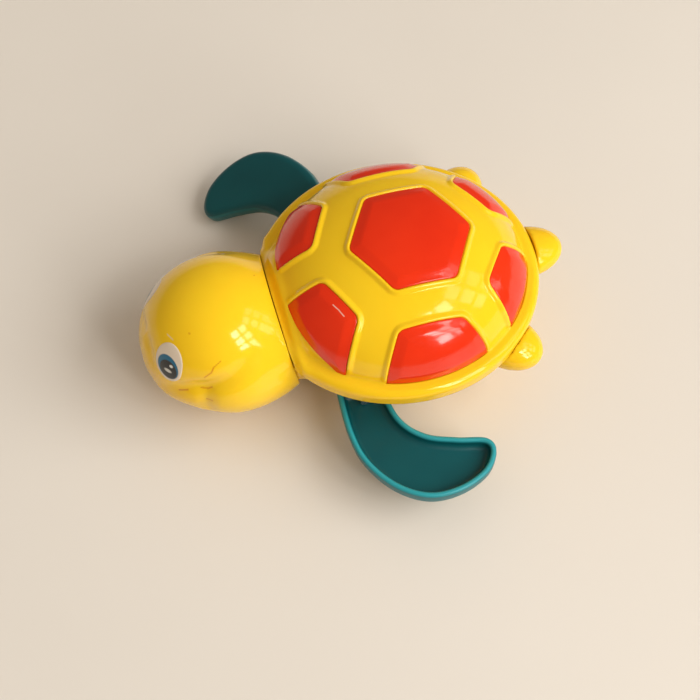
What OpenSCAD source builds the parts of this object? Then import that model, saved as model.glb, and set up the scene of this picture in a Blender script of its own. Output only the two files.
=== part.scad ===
// Bath turtle: a floating toy with two paddle flippers on one clockwork cross shaft.
// X points to the head, Y to the turtle's left and Z up.
// The origin is on the ground, under the middle of the length.

/* [Overall] */
// Length from the tip of the tail to the front of the head
overall_length = 115; // [112:1:118]
// Wall thickness of the shell, the hull and the head
wall = 2; // [1.8:0.1:2.2]
// Height of the joint between the shell and the hull
split_height = 23.5; // [23.2:0.1:24.2]

/* [Shell] */
// Half length of the rim that runs round the shell
rim_half_length = 37; // [36.5:0.25:37.5]
// Half width of the rim
rim_half_width = 35; // [34.5:0.25:35.5]
// Distance from the origin back to the middle of the rim
rim_setback = 10.65; // [10.4:0.05:10.9]
// Thickness of the rolled rim
rim_roll = 4.4; // [4:0.1:4.8]
// Step from the outside of the rim in to the foot of the dome
rim_ledge = 3.6; // [3.2:0.1:4]
// Height of the top of the dome
crown_height = 46.8; // [46:0.2:48]
// Height of the yellow bead round each plate
bead_height = 0.8; // [0.5:0.1:1.1]
// Width of that bead
bead_width = 1.3; // [1:0.1:1.6]
// How far a red plate stands out of the dome
plate_proud = 0.9; // [0.6:0.1:1.2]
// How deep a red plate is let into the dome
plate_recess = 0.9; // [0.6:0.1:1]
// Distance between opposite corners of the crown plate
crown_plate_width = 32.3; // [31:0.5:33]

/* [Hull] */
// Step from the outside of the rim in to the edge of the hull
hull_inset = 2.4; // [2:0.1:2.8]
// Depth that the flat of the belly cuts off the round hull
belly_cut = 3.5; // [3:0.25:4]
// Half width of the neck
neck_half_width = 18.4; // [18:0.1:18.8]
// Half height of the neck
neck_half_height = 15.8; // [15.4:0.1:16]
// Height of the middle of the neck
neck_height = 20.2; // [20:0.1:20.6]
// Distance from the origin to the seam of the neck, at the height of the neck's middle
neck_seam = 21; // [20.5:0.1:21.5]
// Forward lean of that seam
neck_lean = 10; // [8:1:12]
// Length of the collar that the head fits over
collar_length = 3.4; // [3:0.1:4]

/* [Head] */
// Half width of the jaw and cheeks
jaw_half_width = 23.3; // [22.8:0.1:23.8]
// Half height of the jaw
jaw_half_height = 14; // [13.6:0.1:14.2]
// Half width of the skull
skull_half_width = 21.3; // [21:0.1:21.8]
// Half length of the skull
skull_half_length = 22.5; // [22.2:0.1:22.8]
// Half height of the skull
skull_half_height = 18.2; // [17.8:0.1:18.6]
// Height of the middle of the skull
skull_height = 22.6; // [22.2:0.1:23]
// Half width of an eye
eye_half_width = 4.3; // [4:0.1:4.6]
// Half height of an eye
eye_half_height = 5.7; // [5.4:0.1:6]

/* [Flippers] */
// Distance from the joint of shell and hull down to the cross shaft
shaft_drop = 9.3; // [9.1:0.1:9.5]
// Distance from the origin forward to the cross shaft
shaft_forward = 5; // [4.8:0.1:5.2]
// Diameter of the cross shaft
shaft_diameter = 3; // [2.8:0.1:3.2]
// Distance from the shaft's axis to the tip of a flipper
flipper_reach = 28.2; // [27.5:0.1:28.4]
// Distance from the middle plane to the root of a flipper
flipper_root = 21.4; // [21.2:0.1:21.8]
// Distance from the root of a flipper to its outer edge
flipper_span = 35.6; // [34.5:0.1:36.5]
// Depth of a flipper from its rim to its back
flipper_depth = 5; // [4.6:0.1:5.2]
// Wall thickness of a flipper
flipper_wall = 1.5; // [1.3:0.1:1.7]
// Droop of the left flipper, which points to the rear
left_droop = 0; // [-4:1:4]
// Droop of the right flipper, which points to the front
right_droop = 29; // [24:1:29]

/* [Motor] */
// Gear module, the pitch diameter for each tooth
gear_module = 0.6; // [0.58:0.01:0.61]
// Width of the room inside the motor case
motor_width = 15.2; // [15:0.1:15.6]
// Wall thickness of the motor case
motor_wall = 1.2; // [1:0.1:1.3]
// Thickness of the mainspring's strip
spring_strip = 0.35; // [0.3:0.05:0.4]

/* [Hidden] */
$fn = 96;
hull_fn = 32;

yellow = "gold";
red = "orangered";
teal = "teal";
cream = "ivory";
steel = "silver";
brass = "goldenrod";
rubber = "dimgray";
nylon = "whitesmoke";

// One overrun serves every cut, and one half space every trim
overrun = 1;
trim_size = 2 * overall_length;
running_gap = 0.05;
seat_gap = 0.1;

// Shell
rim_middle = [-rim_setback, 0, 0];
rim_stretch = rim_half_length / rim_half_width;
dome_base = split_height + rim_roll / 2;
dome_half_length = rim_half_length - rim_ledge;
dome_half_width = rim_half_width - rim_ledge;
dome_rise = crown_height - dome_base;
plate_corner = 2.2;
plate_foot = dome_base + rim_roll / 2 + seat_gap;
plate_gap = 0.06;
crown_plate_setback = 13.6;

// Places of the side plates' corners: shares of the dome's half length and half width
front_plate_shares = [
    [0.628, 0.160], [0.900, 0.165], [0.843, 0.404], [0.768, 0.602], [0.627, 0.780], [0.450, 0.530]
];
side_plate_shares = [[0.190, 0.712], [0.480, 1.150], [-0.620, 1.060], [-0.300, 0.712]];
rear_plate_shares = [[-0.765, 0.170], [-0.560, 0.480], [-0.800, 0.900], [-1.300, 0.170]];

// Hull
hull_half_length = rim_half_length - hull_inset;
hull_half_width = rim_half_width - hull_inset;
hull_half_height = split_height + belly_cut;
gasket_height = 0.8;
gasket_width = 0.9;
gasket_inset = 0.5;
neck_joint_half_width = neck_half_width * sqrt(1 - pow((split_height - neck_height) / neck_half_height, 2));
neck_length = overall_length;
foot_bearing = 137;
foot_middle = 32;
foot_size = [9.6, 6.6, 5.4];
foot_height = 19.6;
tail_root = 12.15;
tail_half_length = (overall_length / 2 - rim_setback - rim_half_length + tail_root) / 2;
tail_half_width = 7.4;
tail_half_height = 5;
tail_height = 22.2;

// Head
jaw_half_length = 23.3;
jaw_height = 15;
skull_forward = 33;
jaw_forward = overall_length / 2 - jaw_half_length;
eye_place = [50.2, 9, 27.4];
eye_depth = 3.4;
eye_yaw = 30;
eye_pitch = 24;
eye_roll = 12;

// Flippers and their shaft
shaft_place = [shaft_forward, split_height - shaft_drop];
arch_deck = 0.9;
arch_radius = shaft_drop - arch_deck;
root_gap = 0.6;
arch_wall = flipper_root - root_gap;
bush_flange_radius = 3.6;
bush_flange_height = 0.5;
bush_wall = 1;
hub_radius = 4;
hub_length = 7;
hub_floor = 1.6;
hub_stand = 0.5;
blade_root = flipper_root + hub_stand;
blade_span = flipper_span - hub_stand;
root_depth_share = 0.66;
root_blend = 12;
flipper_steps = 4;

// A flipper's outline as shares of its reach and its span, from the root round the outside
flipper_shares = [
    [-0.235, 0.00], [-0.245, 0.34], [-0.180, 0.60], [0.015, 0.84], [0.285, 0.98], [0.585, 0.99],
    [0.860, 0.905], [0.995, 0.76], [0.950, 0.645], [0.690, 0.580], [0.425, 0.490], [0.250, 0.315],
    [0.180, 0.00]
];

// Case screws: places, shaft, thread and head
front_screw = [12.2, 13.3];
rear_screw = [-30, 13.8];
screw_places = [
    [front_screw[0], front_screw[1]], [front_screw[0], -front_screw[1]],
    [rear_screw[0], rear_screw[1]], [rear_screw[0], -rear_screw[1]]
];
screw_radius = 1.2;
screw_head_radius = 2.4;
screw_head_height = 1.8;
screw_head_base = 11;
screw_reach = 7;
boss_wall = 1.5;

// Gear train, in the plane of X and Z: numbers of teeth and bearings of one axis from the last
barrel_teeth = 40;
shaft_pinion_teeth = 12;
shaft_wheel_teeth = 24;
middle_pinion_teeth = 10;
middle_wheel_teeth = 24;
governor_pinion_teeth = 8;
barrel_bearing = 167;
middle_bearing = 100;
governor_bearing = 118;
tooth_height_share = 0.8;
tooth_root_share = 1.1;
tooth_foot_share = 0.54;
tooth_tip_share = 0.22;

// Layers of the train along the shaft, from the right wall of the motor case
layer_gap = 0.6;
gear_width = 1.6;
low_layer = -motor_width / 2 + layer_gap;
wheel_layer = low_layer + gear_width + layer_gap;
drum_layer = wheel_layer + gear_width + layer_gap;
barrel_layer = motor_width / 2 - layer_gap - gear_width;
barrel_drum_radius = 11;
barrel_drum_wall = 1;
lid_height = 0.8;
arbor_radius = 1.1;
arbor_hub_radius = 2.2;
sleeve_radius = 2.1;
pin_radius = 0.8;
governor_radius = 4.2;
governor_height = 4.4;
governor_web = 1.2;
governor_slot = 1;
spring_turns = 7;
spring_steps = 24;
motor_clearance = 0.8;
motor_screw_radius = 0.7;
motor_screw_head_radius = 1.4;
motor_screw_head_height = 0.8;
motor_boss_radius = 1.9;
motor_rest_length = 14;
motor_rest_width = 3;
motor_ear_bearings = [190, 20, 60];

function pitch_radius(teeth) = gear_module * teeth / 2;
function tip_radius(teeth) = pitch_radius(teeth) + gear_module * tooth_height_share;
function step_to(place, distance, bearing) = place + distance * [cos(bearing), sin(bearing)];
barrel_place = step_to(shaft_place, pitch_radius(shaft_pinion_teeth) + pitch_radius(barrel_teeth),
    barrel_bearing);
middle_place = step_to(shaft_place, pitch_radius(shaft_wheel_teeth) + pitch_radius(middle_pinion_teeth),
    middle_bearing);
governor_place = step_to(middle_place,
    pitch_radius(middle_wheel_teeth) + pitch_radius(governor_pinion_teeth), governor_bearing);

// Turn of a gear that meshes with another one that lies at a bearing behind it
function meshed_turn(teeth, other_teeth, other_turn, bearing) =
    bearing + 180 + (0.5 - (other_turn - bearing) * other_teeth / 360) * 360 / teeth;
barrel_turn = meshed_turn(barrel_teeth, shaft_pinion_teeth, 0, barrel_bearing);
middle_turn = meshed_turn(middle_pinion_teeth, shaft_wheel_teeth, 0, middle_bearing);
governor_turn = meshed_turn(governor_pinion_teeth, middle_wheel_teeth, 0, governor_bearing);

// Outline tools
function unit(v) = v / norm(v);
function quarter_left(v) = [-v[1], v[0]];
function mirrored(points) = [for (i = [len(points) - 1 : -1 : 0]) [points[i][0], -points[i][1]]];

// Corners of an outline rounded by arcs of one radius
function corner_arc(before, corner, after, radius, steps = 6) =
    let (
        to_before = unit(before - corner),
        to_after = unit(after - corner),
        half_angle = acos(to_before * to_after) / 2,
        middle = corner + unit(to_before + to_after) * radius / sin(half_angle),
        start = corner + to_before * radius / tan(half_angle) - middle,
        finish = corner + to_after * radius / tan(half_angle) - middle
    )
    [for (i = [0 : steps]) middle + radius * unit(start * (1 - i / steps) + finish * i / steps)];
function rounded(points, radius) =
    let (count = len(points))
    [for (i = [0 : count - 1])
        each corner_arc(points[(i + count - 1) % count], points[i], points[(i + 1) % count], radius)];

// A straight-sided outline, drawn anticlockwise, with each side moved outwards
function side_normal(a, b) = -quarter_left(unit(b - a));
function grown(points, distance) =
    let (count = len(points))
    [for (i = [0 : count - 1])
        let (
            n1 = side_normal(points[(i + count - 1) % count], points[i]),
            n2 = side_normal(points[i], points[(i + 1) % count])
        )
        points[i] + (n1 + n2) * distance / (1 + n1 * n2)];

// A smooth curve through points, and the same open curve moved to its right
function curve_point(a, b, c, d, t) =
    (2 * b + (c - a) * t + (2 * a - 5 * b + 4 * c - d) * t * t + (3 * b - a - 3 * c + d) * t * t * t) / 2;
function smooth_curve(points, steps) =
    let (last = len(points) - 1)
    [for (i = [0 : last - 1])
        for (k = [0 : steps - 1])
            curve_point(points[max(i - 1, 0)], points[i], points[i + 1], points[min(i + 2, last)], k / steps),
        points[last]];
function inward(points, distance) =
    let (last = len(points) - 1)
    [for (i = [0 : last])
        let (along = points[min(i + 1, last)] - points[max(i - 1, 0)])
        points[i] - quarter_left(unit(along)) * distance];

// Solids that many pieces use
// A rounded body, turned so that its seam lies at the rear, away from the neck
module ellipsoid(middle, half_size) {
    translate(middle) scale(half_size) rotate(180) sphere(r = 1);
}

module above(height) {
    translate([-trim_size / 2, -trim_size / 2, height]) cube(trim_size);
}

module below(height) {
    translate([-trim_size / 2, -trim_size / 2, height - trim_size]) cube(trim_size);
}

module behind_neck(gap = 0) {
    translate([neck_seam - gap, 0, neck_height])
        rotate([0, neck_lean, 0])
            translate([-trim_size, -trim_size / 2, -trim_size / 2])
                cube(trim_size);
}

module rim_outline(inset) {
    translate(rim_middle) scale([rim_half_length - inset, rim_half_width - inset, 1]) circle(r = 1);
}

module neck_bar(shrink) {
    translate([-rim_setback, 0, neck_height])
        rotate([90, 0, 90])
            linear_extrude(neck_length)
                scale([neck_half_width - shrink, neck_half_height - shrink]) circle(r = 1);
}

// The tube that the head fits over
module neck_collar() {
    difference() {
        intersection() {
            neck_bar(wall + seat_gap);
            behind_neck(-collar_length);
        }
        neck_bar(2 * wall);
        behind_neck(wall / 2);
    }
}

module neck_room() {
    intersection() {
        neck_bar(wall);
        behind_neck(wall);
    }
}

module along_shaft(place, start, finish) {
    translate([place[0], finish, place[1]]) rotate([90, 0, 0]) linear_extrude(finish - start) children();
}

// Shell
module dome(grow) {
    ellipsoid([-rim_setback, 0, dome_base],
        [dome_half_length + grow, dome_half_width + grow, dome_rise + grow]);
}

module rim_ring() {
    translate(rim_middle)
        scale([rim_stretch, 1, 1])
            rotate_extrude() {
                translate([rim_half_width - rim_roll / 2, dome_base]) circle(d = rim_roll);
                translate([rim_half_width - rim_roll, split_height]) square([rim_roll, rim_roll / 2]);
            }
}

function on_dome(shares) =
    [for (share = shares) [share[0] * dome_half_length - rim_setback, share[1] * dome_half_width]];
crown_outline = [for (i = [0 : 5])
    [crown_plate_width / 2 * cos(60 * i) - crown_plate_setback, crown_plate_width / 2 * sin(60 * i)]];
front_outline = on_dome(front_plate_shares);
side_outline = on_dome(side_plate_shares);
rear_outline = on_dome(rear_plate_shares);

module plate_area(points, grow) {
    translate([0, 0, plate_foot])
        linear_extrude(crown_height)
            polygon(rounded(grown(points, grow), plate_corner + grow));
}

module both_sides() {
    children();
    mirror([0, 1, 0]) children();
}

module all_plate_areas(grow) {
    plate_area(crown_outline, grow);
    both_sides() {
        plate_area(front_outline, grow);
        plate_area(side_outline, grow);
        plate_area(rear_outline, grow);
    }
}

module plate(points) {
    color(red)
        intersection() {
            difference() {
                dome(plate_proud);
                dome(-plate_recess);
            }
            plate_area(points, -plate_gap);
        }
}

module shell_bosses() {
    for (place = screw_places)
        translate([place[0], place[1], split_height])
            cylinder(r = screw_radius + boss_wall, h = dome_rise);
}

module screw_pilots() {
    for (place = screw_places)
        translate([place[0], place[1], split_height - overrun])
            cylinder(r = screw_radius, h = screw_reach + 2 * overrun);
}

module shell_outside() {
    intersection() {
        union() {
            intersection() {
                union() {
                    dome(0);
                    rim_ring();
                    neck_bar(0);
                    intersection() {
                        dome(bead_height);
                        all_plate_areas(bead_width);
                    }
                }
                behind_neck();
            }
            neck_collar();
        }
        above(split_height);
    }
}

module upper_shell() {
    color(yellow)
        difference() {
            union() {
                difference() {
                    shell_outside();
                    intersection() {
                        dome(-wall);
                        behind_neck(wall);
                    }
                    neck_room();
                }
                intersection() {
                    shell_bosses();
                    dome(-wall / 2);
                }
            }
            difference() {
                all_plate_areas(0);
                dome(-plate_recess);
            }
            screw_pilots();
        }
}

// Hull
module hull_round(shrink) {
    ellipsoid([-rim_setback, 0, split_height],
        [hull_half_length - shrink, hull_half_width - shrink, hull_half_height - shrink]);
}

module foot() {
    translate([-rim_setback, 0, foot_height])
        rotate([0, 0, foot_bearing])
            ellipsoid([foot_middle, 0, 0], foot_size);
}

module tail() {
    ellipsoid([tail_half_length - overall_length / 2, 0, tail_height],
        [tail_half_length, tail_half_width, tail_half_height]);
}

module feet_and_tail() {
    difference() {
        union() {
            both_sides() foot();
            tail();
        }
        translate([0, 0, split_height]) linear_extrude(crown_height) rim_outline(0);
    }
}

module arch(grow) {
    along_shaft(shaft_place, arch_wall - grow, trim_size) circle(r = arch_radius + grow);
}

module screw_boss() {
    cylinder(r = screw_head_radius + boss_wall, h = split_height);
}

module hull_bosses() {
    for (place = screw_places)
        translate([place[0], place[1], 0]) screw_boss();
}

// Cradles on the floor that the motor case lies in
module motor_rests() {
    difference() {
        both_sides()
            translate([barrel_place[0] - motor_rest_length / 2, motor_width / 2 - motor_rest_width, 0])
                cube([motor_rest_length, motor_rest_width, barrel_place[1] - tip_radius(barrel_teeth)]);
        case_block(case_grow, -motor_width, motor_width);
    }
}

module hull_outside() {
    intersection() {
        union() {
            intersection() {
                union() {
                    hull_round(0);
                    neck_bar(0);
                }
                behind_neck();
            }
            neck_collar();
        }
        above(0);
        below(split_height);
    }
}

module hull_inside() {
    difference() {
        intersection() {
            union() {
                intersection() {
                    hull_round(wall);
                    behind_neck(wall);
                }
                neck_room();
            }
            above(wall);
        }
        both_sides() arch(wall);
        hull_bosses();
        motor_rests();
    }
}

module screw_holes() {
    for (place = screw_places)
        translate([place[0], place[1], -overrun]) {
            cylinder(r = screw_radius + running_gap, h = split_height + 2 * overrun);
            cylinder(r = screw_head_radius + seat_gap, h = screw_head_base + overrun);
        }
}

module bush_holes() {
    both_sides()
        along_shaft(shaft_place, arch_wall - wall - overrun, arch_wall + overrun)
            circle(r = shaft_diameter / 2 + running_gap + bush_wall);
}

module lower_hull() {
    color(yellow)
        difference() {
            union() {
                hull_outside();
                difference() {
                    feet_and_tail();
                    hull_round(wall / 2);
                }
            }
            hull_inside();
            both_sides() arch(0);
            bush_holes();
            screw_holes();
            gasket_ring();
        }
}

// Sealing ring in a groove of the hull's edge
module joint_outline(inset) {
    rim_outline(hull_inset + inset);
    translate([-rim_setback, inset - neck_joint_half_width])
        square([rim_setback + neck_seam - inset, 2 * (neck_joint_half_width - inset)]);
}

module gasket_ring() {
    translate([0, 0, split_height - gasket_height])
        linear_extrude(gasket_height)
            difference() {
                intersection() {
                    joint_outline(gasket_inset);
                    translate([neck_seam - gasket_inset - trim_size, -trim_size / 2]) square(trim_size);
                }
                intersection() {
                    joint_outline(gasket_inset + gasket_width);
                    translate([neck_seam - gasket_inset - gasket_width - trim_size, -trim_size / 2])
                        square(trim_size);
                }
            }
}

module hull_gasket() {
    color(rubber) gasket_ring();
}

module case_screws() {
    color(steel)
        for (place = screw_places)
            translate([place[0], place[1], screw_head_base - screw_head_height]) {
                cylinder(r = screw_head_radius, h = screw_head_height);
                cylinder(r = screw_radius, h = split_height + screw_reach - screw_head_base + screw_head_height);
            }
}

// Head
module skull(shrink) {
    ellipsoid([skull_forward, 0, skull_height],
        [skull_half_length - shrink, skull_half_width - shrink, skull_half_height - shrink]);
}

module jaw(shrink) {
    ellipsoid([jaw_forward, 0, jaw_height],
        [jaw_half_length - shrink, jaw_half_width - shrink, jaw_half_height - shrink]);
}

module eyeball(grow = 0) {
    translate(eye_place)
        rotate([eye_roll, -eye_pitch, eye_yaw])
            scale([eye_depth + grow, eye_half_width + grow, eye_half_height + grow])
                rotate([0, 90, 0])
                    sphere(r = 1);
}

module head_shell() {
    color(yellow)
        difference() {
            union() {
                skull(0);
                jaw(0);
            }
            behind_neck();
            skull(wall);
            jaw(wall);
            intersection() {
                neck_bar(wall);
                behind_neck(-collar_length - seat_gap);
            }
            both_sides() eyeball(seat_gap);
        }
}

module left_eye() {
    color(cream) eyeball();
}

module right_eye() {
    color(cream) mirror([0, 1, 0]) eyeball();
}

// Flippers: a dish whose rim lies in the plane of the shaft's axis
flipper_outline = smooth_curve(
    [for (share = flipper_shares) [share[0] * flipper_reach, blade_root + share[1] * blade_span]],
    flipper_steps);
function from_root(across, distance) =
    across + distance * max(0, 1 - (across - blade_root) / root_blend);
function blade_curve(distance) = [for (p = inward(flipper_outline, distance)) [p[0], from_root(p[1], distance)]];

// What lies above the sloping back, which is deeper at the outer edge than at the root
module above_back(lift) {
    translate([0, blade_root, lift - root_depth_share * flipper_depth])
        rotate([-atan((1 - root_depth_share) * flipper_depth / blade_span), 0, 0])
            above(0);
}

module blade_room(inset, lift, top) {
    intersection() {
        translate([0, 0, -flipper_depth - overrun])
            linear_extrude(flipper_depth + overrun + top)
                polygon(blade_curve(inset));
        above_back(lift);
    }
}

module flipper() {
    difference() {
        union() {
            difference() {
                blade_room(0, 0, 0);
                blade_room(flipper_wall, flipper_wall, overrun);
            }
            along_shaft([0, 0], flipper_root, flipper_root + hub_length) circle(r = hub_radius);
        }
        along_shaft([0, 0], flipper_root - overrun, flipper_root + hub_length - hub_floor)
            circle(d = shaft_diameter);
    }
}

module left_flipper() {
    color(teal)
        translate([shaft_place[0], 0, shaft_place[1]])
            rotate([0, -left_droop, 0])
                mirror([1, 0, 0])
                    flipper();
}

module right_flipper() {
    color(teal)
        translate([shaft_place[0], 0, shaft_place[1]])
            rotate([0, right_droop, 0])
                rotate([180, 0, 0])
                    flipper();
}

module flipper_shaft() {
    end = flipper_root + hub_length - hub_floor;
    color(steel) along_shaft(shaft_place, -end, end) circle(d = shaft_diameter);
}

module shaft_bush() {
    color(nylon)
        difference() {
            union() {
                along_shaft(shaft_place, arch_wall - wall, arch_wall)
                    circle(r = shaft_diameter / 2 + running_gap + bush_wall);
                along_shaft(shaft_place, arch_wall, arch_wall + bush_flange_height) circle(r = bush_flange_radius);
            }
            along_shaft(shaft_place, arch_wall - wall - overrun, arch_wall + wall)
                circle(r = shaft_diameter / 2 + running_gap);
        }
}

module left_shaft_bush() {
    shaft_bush();
}

module right_shaft_bush() {
    mirror([0, 1, 0]) shaft_bush();
}

// Motor case
module train_envelope(grow) {
    hull() {
        translate(barrel_place) circle(r = tip_radius(barrel_teeth) + grow, $fn = hull_fn);
        translate(shaft_place) circle(r = tip_radius(shaft_wheel_teeth) + grow, $fn = hull_fn);
        translate(middle_place) circle(r = tip_radius(middle_wheel_teeth) + grow, $fn = hull_fn);
        translate(governor_place) circle(r = governor_radius + grow, $fn = hull_fn);
    }
}

module case_block(grow, start, finish) {
    along_shaft([0, 0], start, finish) train_envelope(grow);
}

case_grow = motor_clearance + motor_wall;
case_half_width = motor_width / 2 + motor_wall;
motor_ears = [
    step_to(barrel_place, tip_radius(barrel_teeth) + case_grow + motor_screw_radius, motor_ear_bearings[0]),
    step_to(shaft_place, tip_radius(shaft_wheel_teeth) + case_grow + motor_screw_radius, motor_ear_bearings[1]),
    step_to(governor_place, governor_radius + case_grow + motor_screw_radius, motor_ear_bearings[2])
];

module case_half() {
    difference() {
        union() {
            case_block(case_grow, 0, case_half_width);
            for (ear = motor_ears)
                along_shaft(ear, 0, case_half_width) circle(r = motor_boss_radius);
        }
        case_block(motor_clearance, -overrun, motor_width / 2);
        along_shaft(shaft_place, 0, case_half_width + overrun) circle(r = shaft_diameter / 2 + running_gap);
        along_shaft(barrel_place, 0, case_half_width + overrun) circle(r = arbor_radius);
        along_shaft(middle_place, 0, case_half_width + overrun) circle(r = pin_radius);
        along_shaft(governor_place, 0, case_half_width + overrun) circle(r = pin_radius);
        for (ear = motor_ears)
            along_shaft(ear, -overrun, case_half_width + overrun) circle(r = motor_screw_radius);
    }
}

module motor_case_left() {
    color(nylon) case_half();
}

module motor_case_right() {
    color(nylon) mirror([0, 1, 0]) case_half();
}

module motor_screws() {
    color(steel)
        for (ear = motor_ears) {
            along_shaft(ear, motor_screw_radius - case_half_width, case_half_width) circle(r = motor_screw_radius);
            along_shaft(ear, case_half_width, case_half_width + motor_screw_head_height)
                circle(r = motor_screw_head_radius);
        }
}

// Gear train
module toothed(teeth, turn) {
    root = pitch_radius(teeth) - gear_module * tooth_root_share;
    tip = tip_radius(teeth);
    pitch_angle = 360 / teeth;
    foot = pitch_angle * tooth_foot_share / 2;
    crest = pitch_angle * tooth_tip_share / 2;
    polygon([for (i = [0 : teeth - 1])
        let (middle = turn + i * pitch_angle)
        each [
            root * [cos(middle - foot), sin(middle - foot)],
            tip * [cos(middle - crest), sin(middle - crest)],
            tip * [cos(middle + crest), sin(middle + crest)],
            root * [cos(middle + foot), sin(middle + foot)]
        ]]);
}

module shaft_gear() {
    color(brass)
        difference() {
            union() {
                along_shaft(shaft_place, low_layer, low_layer + gear_width) toothed(shaft_wheel_teeth, 0);
                along_shaft(shaft_place, low_layer, barrel_layer) circle(r = sleeve_radius);
                along_shaft(shaft_place, barrel_layer, barrel_layer + gear_width)
                    toothed(shaft_pinion_teeth, 0);
            }
            along_shaft(shaft_place, -motor_width, motor_width) circle(d = shaft_diameter);
        }
}

module spring_barrel() {
    color(brass)
        difference() {
            union() {
                along_shaft(barrel_place, barrel_layer, barrel_layer + gear_width)
                    toothed(barrel_teeth, barrel_turn);
                along_shaft(barrel_place, drum_layer, barrel_layer) circle(r = barrel_drum_radius);
            }
            along_shaft(barrel_place, drum_layer - overrun, barrel_layer)
                circle(r = barrel_drum_radius - barrel_drum_wall);
            along_shaft(barrel_place, -motor_width, motor_width) circle(r = arbor_radius + running_gap);
        }
}

module barrel_lid() {
    color(brass)
        along_shaft(barrel_place, drum_layer, drum_layer + lid_height)
            difference() {
                circle(r = barrel_drum_radius - barrel_drum_wall);
                circle(r = arbor_radius + running_gap);
            }
}

module barrel_arbor() {
    color(steel) {
        along_shaft(barrel_place, -case_half_width, case_half_width) circle(r = arbor_radius);
        along_shaft(barrel_place, drum_layer + lid_height + seat_gap, barrel_layer - seat_gap)
            circle(r = arbor_hub_radius);
    }
}

function spiral_point(i, shift) =
    let (
        turn = i * 360 / spring_steps,
        first = arbor_hub_radius + spring_strip,
        last = barrel_drum_radius - barrel_drum_wall - running_gap - spring_strip / 2,
        radius = first + (last - first) * i / (spring_steps * spring_turns) + shift
    )
    radius * [cos(turn), sin(turn)];

module mainspring() {
    count = spring_steps * spring_turns;
    color(steel)
        along_shaft(barrel_place, drum_layer + lid_height + seat_gap, barrel_layer - seat_gap)
            polygon([
                for (i = [0 : count]) spiral_point(i, spring_strip / 2),
                for (i = [count : -1 : 0]) spiral_point(i, -spring_strip / 2)
            ]);
}

module middle_gear() {
    color(nylon)
        difference() {
            union() {
                along_shaft(middle_place, low_layer, wheel_layer)
                    toothed(middle_pinion_teeth, middle_turn);
                along_shaft(middle_place, wheel_layer, wheel_layer + gear_width) toothed(middle_wheel_teeth, 0);
            }
            along_shaft(middle_place, -motor_width, motor_width) circle(r = pin_radius + running_gap);
        }
}

module middle_arbor() {
    color(steel) along_shaft(middle_place, -case_half_width, case_half_width) circle(r = pin_radius);
}

module governor() {
    color(nylon)
        difference() {
            union() {
                along_shaft(governor_place, wheel_layer, drum_layer)
                    toothed(governor_pinion_teeth, governor_turn);
                along_shaft(governor_place, drum_layer, drum_layer + governor_height)
                    circle(r = governor_radius);
            }
            along_shaft(governor_place, drum_layer + governor_web, motor_width)
                square([2 * governor_radius + overrun, 2 * governor_slot], center = true);
            along_shaft(governor_place, -motor_width, motor_width) circle(r = pin_radius + running_gap);
        }
}

module governor_arbor() {
    color(steel) along_shaft(governor_place, -case_half_width, case_half_width) circle(r = pin_radius);
}

module crown_plate() {
    plate(crown_outline);
}

module front_left_plate() {
    plate(front_outline);
}

module front_right_plate() {
    plate(mirrored(front_outline));
}

module left_plate() {
    plate(side_outline);
}

module right_plate() {
    plate(mirrored(side_outline));
}

module rear_left_plate() {
    plate(rear_outline);
}

module rear_right_plate() {
    plate(mirrored(rear_outline));
}

upper_shell();
crown_plate();
front_left_plate();
front_right_plate();
left_plate();
right_plate();
rear_left_plate();
rear_right_plate();
lower_hull();
hull_gasket();
head_shell();
left_eye();
right_eye();
case_screws();
left_flipper();
right_flipper();
flipper_shaft();
left_shaft_bush();
right_shaft_bush();
motor_case_left();
motor_case_right();
motor_screws();
shaft_gear();
spring_barrel();
barrel_lid();
barrel_arbor();
mainspring();
middle_gear();
middle_arbor();
governor();
governor_arbor();
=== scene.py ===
"""The bath turtle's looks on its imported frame: X to the head, Y to the turtle's left, Z up.

Shapes are worked out in millimetres, in the frame's own place, and turned into metres when a mesh is made.
"""

import math

import bpy
import numpy as np
from mathutils import Euler, Matrix, Vector
from mathutils.kdtree import KDTree
from numpy.linalg import norm


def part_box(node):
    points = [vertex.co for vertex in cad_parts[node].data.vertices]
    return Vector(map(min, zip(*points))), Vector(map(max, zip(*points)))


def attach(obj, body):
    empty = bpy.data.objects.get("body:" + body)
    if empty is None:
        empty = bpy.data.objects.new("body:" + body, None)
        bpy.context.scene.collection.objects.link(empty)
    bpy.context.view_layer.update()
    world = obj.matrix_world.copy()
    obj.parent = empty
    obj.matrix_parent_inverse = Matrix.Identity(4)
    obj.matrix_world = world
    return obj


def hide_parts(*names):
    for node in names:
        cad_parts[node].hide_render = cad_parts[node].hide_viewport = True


MM = 0.001
TINY = 1e-9
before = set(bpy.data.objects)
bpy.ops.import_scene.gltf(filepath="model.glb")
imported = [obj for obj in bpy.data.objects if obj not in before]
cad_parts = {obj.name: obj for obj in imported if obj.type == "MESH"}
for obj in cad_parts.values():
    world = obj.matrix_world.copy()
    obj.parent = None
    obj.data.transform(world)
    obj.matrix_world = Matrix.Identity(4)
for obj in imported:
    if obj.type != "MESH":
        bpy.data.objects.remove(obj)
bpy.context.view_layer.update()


def box_mm(node):
    low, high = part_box(node)
    return np.array(low) / MM, np.array(high) / MM


# Main sizes, from the frame
shell_low, shell_high = box_mm("upper_shell")
head_high = box_mm("head_shell")[1]
hull_low, hull_high = box_mm("lower_hull")
crown_low, crown_high = box_mm("crown_plate")
SPLIT = shell_low[2]
RIM_HALF_WIDTH = shell_high[1]
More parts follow.
